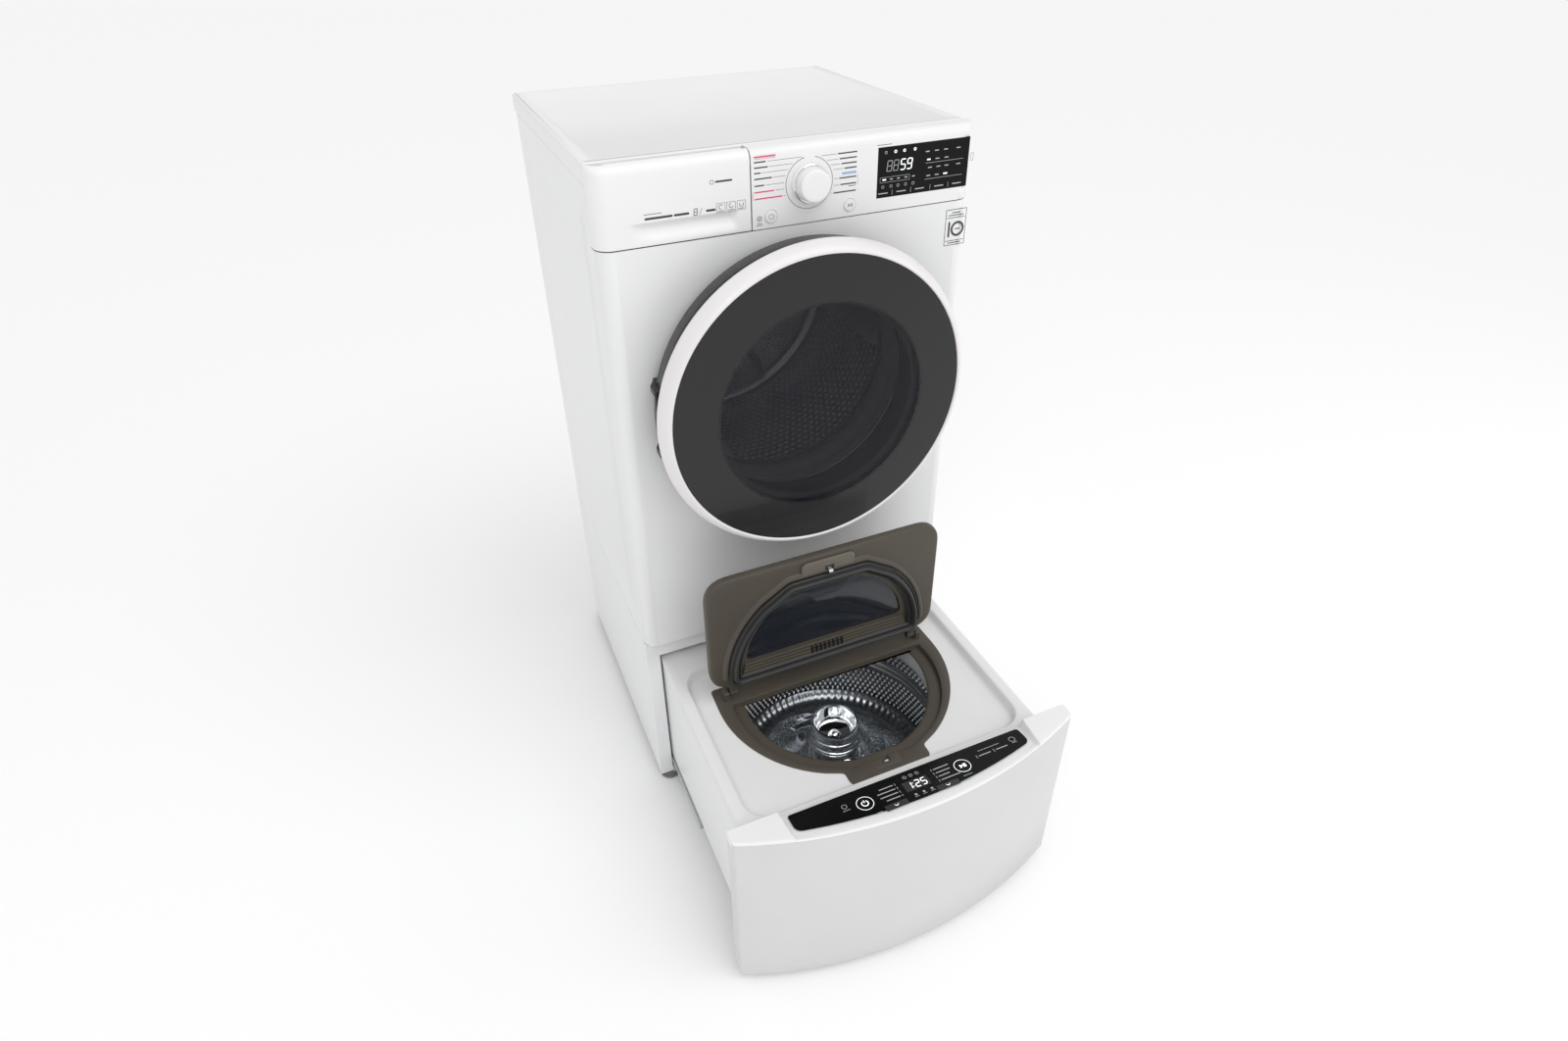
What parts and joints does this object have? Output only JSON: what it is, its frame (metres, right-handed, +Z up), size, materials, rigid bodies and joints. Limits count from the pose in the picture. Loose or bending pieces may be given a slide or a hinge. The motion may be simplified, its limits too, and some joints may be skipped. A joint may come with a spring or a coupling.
{
  "type": "washer dryer stack",
  "caption": "Front-loading washer dryer on a pedestal drawer that holds a small top-loading washer, drawer out and its lid open.",
  "frame": {"origin": "middle of the footprint, on the floor, with the drawer pulled out", "axes": "+Z up, +X to the right seen from the front, -Y out of the front"},
  "size_m": [0.6, 1.066, 1.215],
  "materials": {
    "white_enamel": "baked enamel, satin",
    "white_plastic": "moulded, semi-gloss",
    "light_grey_front": "satin",
    "tray_plastic": "moulded, semi-gloss",
    "dark_glass": "black tinted, gloss",
    "clear_glass": "clear",
    "smoked_window": "smoked",
    "black_panel": "gloss",
    "black_plastic": "satin",
    "taupe_plastic": "fine grain",
    "black_rubber": "matte",
    "grey_rubber": "matte",
    "stainless": "bright",
    "zinc_steel": "galvanised",
    "grey_tub_plastic": "matte",
    "blue_tray_plastic": "matte",
    "grey_foot": "matte",
    "copper_winding": "lacquered wire",
    "ballast": "rough cast",
    "damper_steel": "satin"
  },
  "bodies": {
    "cabinet": {"base_frame": "zinc_steel", "side_panels": "white_enamel", "rear_panel": "zinc_steel", "worktop": "white_plastic", "front_panel": "white_enamel", "control_panel": "white_plastic", "display_window": "black_panel", "dispenser_housing": "grey_tub_plastic", "door_hinge": "damper_steel", "door_gasket": "grey_rubber", "outer_tub": "grey_tub_plastic", "drum_bearings": "stainless", "motor_stator": "copper_winding", "counterweights": "ballast", "suspension_springs": "damper_steel", "shock_dampers": "damper_steel", "drain_pump": "black_plastic", "rear_connections": "white_plastic", "drying_duct": "zinc_steel", "pedestal_panels": "white_enamel", "pedestal_base": "zinc_steel", "pedestal_front_frame": "white_enamel", "levelling_feet": "grey_foot", "outer_rails": "zinc_steel"},
    "door": {"door_trim_ring": "white_plastic", "door_outer_glass": "dark_glass", "door_inner_frame": "black_plastic", "door_bowl_glass": "clear_glass"},
    "door_hook": {"door_hook": "zinc_steel"},
    "drum": {"wash_drum": "stainless", "drum_lifters": "grey_tub_plastic", "drum_shaft": "zinc_steel", "motor_rotor": "damper_steel"},
    "dial": {"program_dial": "white_plastic"},
    "power_button": {"power_button": "white_plastic"},
    "start_button": {"start_button": "white_plastic"},
    "detergent_drawer": {"detergent_drawer_front": "white_plastic", "detergent_tray": "blue_tray_plastic"},
    "filter_flap": {"filter_flap": "white_enamel"},
    "filter_cap": {"drain_filter_cap": "white_plastic"},
    "middle_rails": {"middle_rails": "zinc_steel"},
    "left_roller": {"left_roller": "black_rubber"},
    "right_roller": {"right_roller": "black_rubber"},
    "drawer": {"inner_rails": "zinc_steel", "drawer_box": "white_enamel", "drawer_tray": "tray_plastic", "drawer_front": "light_grey_front", "drawer_top_trim": "white_plastic", "control_strip": "black_panel", "lid_collar": "taupe_plastic", "mini_tub": "grey_tub_plastic", "mini_motor_stator": "copper_winding"},
    "mini_drum": {"mini_drum": "stainless", "balance_ring": "grey_tub_plastic", "mini_motor_rotor": "damper_steel"},
    "pulsator": {"pulsator": "stainless"},
    "lid": {"lid_frame": "taupe_plastic", "lid_window": "smoked_window", "lid_gasket": "black_rubber"},
    "lid_latch": {"lid_handle": "taupe_plastic"}
  },
  "joints": [
    {"name": "door_swing", "type": "hinge", "parent": "cabinet", "child": "door", "pos_m": [-0.246, -0.08, 0.8426], "axis": [0, 0, -1], "range_deg": [0, 128]},
    {"name": "door_hook_pivot", "type": "hinge", "parent": "door", "child": "door_hook", "pos_m": [0.218, -0.07, 0.8426], "axis": [0, 0, 1], "range_deg": [0, 12], "stiffness_Nm_per_rad": 0.6, "springref_deg": -11.46},
    {"name": "drum_spin", "type": "hinge", "parent": "cabinet", "child": "drum", "pos_m": [0, 0.21, 0.8426], "axis": [0, 1, 0], "continuous": true},
    {"name": "dial_turn", "type": "hinge", "parent": "cabinet", "child": "dial", "pos_m": [0.019, -0.05, 1.1595], "axis": [0, 1, 0], "continuous": true},
    {"name": "power_press", "type": "slide", "parent": "cabinet", "child": "power_button", "axis": [0, 1, 0], "range_m": [0, 0.0012], "stiffness_N_per_m": 400, "springref_m": -0.001},
    {"name": "start_press", "type": "slide", "parent": "cabinet", "child": "start_button", "axis": [0, 1, 0], "range_m": [0, 0.0012], "stiffness_N_per_m": 400, "springref_m": -0.001},
    {"name": "detergent_slide", "type": "slide", "parent": "cabinet", "child": "detergent_drawer", "axis": [0, -1, 0], "range_m": [0, 0.18]},
    {"name": "filter_flap_hinge", "type": "hinge", "parent": "cabinet", "child": "filter_flap", "pos_m": [0.216, -0.0354, 0.398], "axis": [1, 0, 0], "range_deg": [0, 90]},
    {"name": "filter_cap_turn", "type": "hinge", "parent": "cabinet", "child": "filter_cap", "pos_m": [0.216, -0.01, 0.432], "axis": [0, 1, 0], "range_deg": [0, 90]},
    {"name": "drawer_slide", "type": "slide", "parent": "cabinet", "child": "drawer", "axis": [0, -1, 0], "range_m": [-0.095, 0]},
    {"name": "middle_rail_slide", "type": "slide", "parent": "cabinet", "child": "middle_rails", "axis": [0, -1, 0], "range_m": [-0.0475, 0]},
    {"name": "left_roller_spin", "type": "hinge", "parent": "cabinet", "child": "left_roller", "pos_m": [-0.262, -0.028, 0.03], "axis": [1, 0, 0], "continuous": true},
    {"name": "right_roller_spin", "type": "hinge", "parent": "cabinet", "child": "right_roller", "pos_m": [0.262, -0.028, 0.03], "axis": [1, 0, 0], "continuous": true},
    {"name": "lid_hinge", "type": "hinge", "parent": "drawer", "child": "lid", "pos_m": [0, -0.156, 0.32], "axis": [1, 0, 0], "range_deg": [0, 90]},
    {"name": "lid_latch_press", "type": "hinge", "parent": "lid", "child": "lid_latch", "pos_m": [0, -0.1648, 0.5605], "axis": [-1, 0, 0], "range_deg": [0, 4], "stiffness_Nm_per_rad": 0.8, "springref_deg": -11.46},
    {"name": "mini_drum_spin", "type": "hinge", "parent": "drawer", "child": "mini_drum", "pos_m": [0, -0.205, 0.15], "axis": [0, 0, 1], "continuous": true},
    {"name": "pulsator_spin", "type": "hinge", "parent": "drawer", "child": "pulsator", "pos_m": [0, -0.205, 0.12], "axis": [0, 0, 1], "continuous": true}
  ],
  "couplings": [
    {"joint": "middle_rail_slide", "follows": "drawer_slide", "ratio": 0.5}
  ]
}
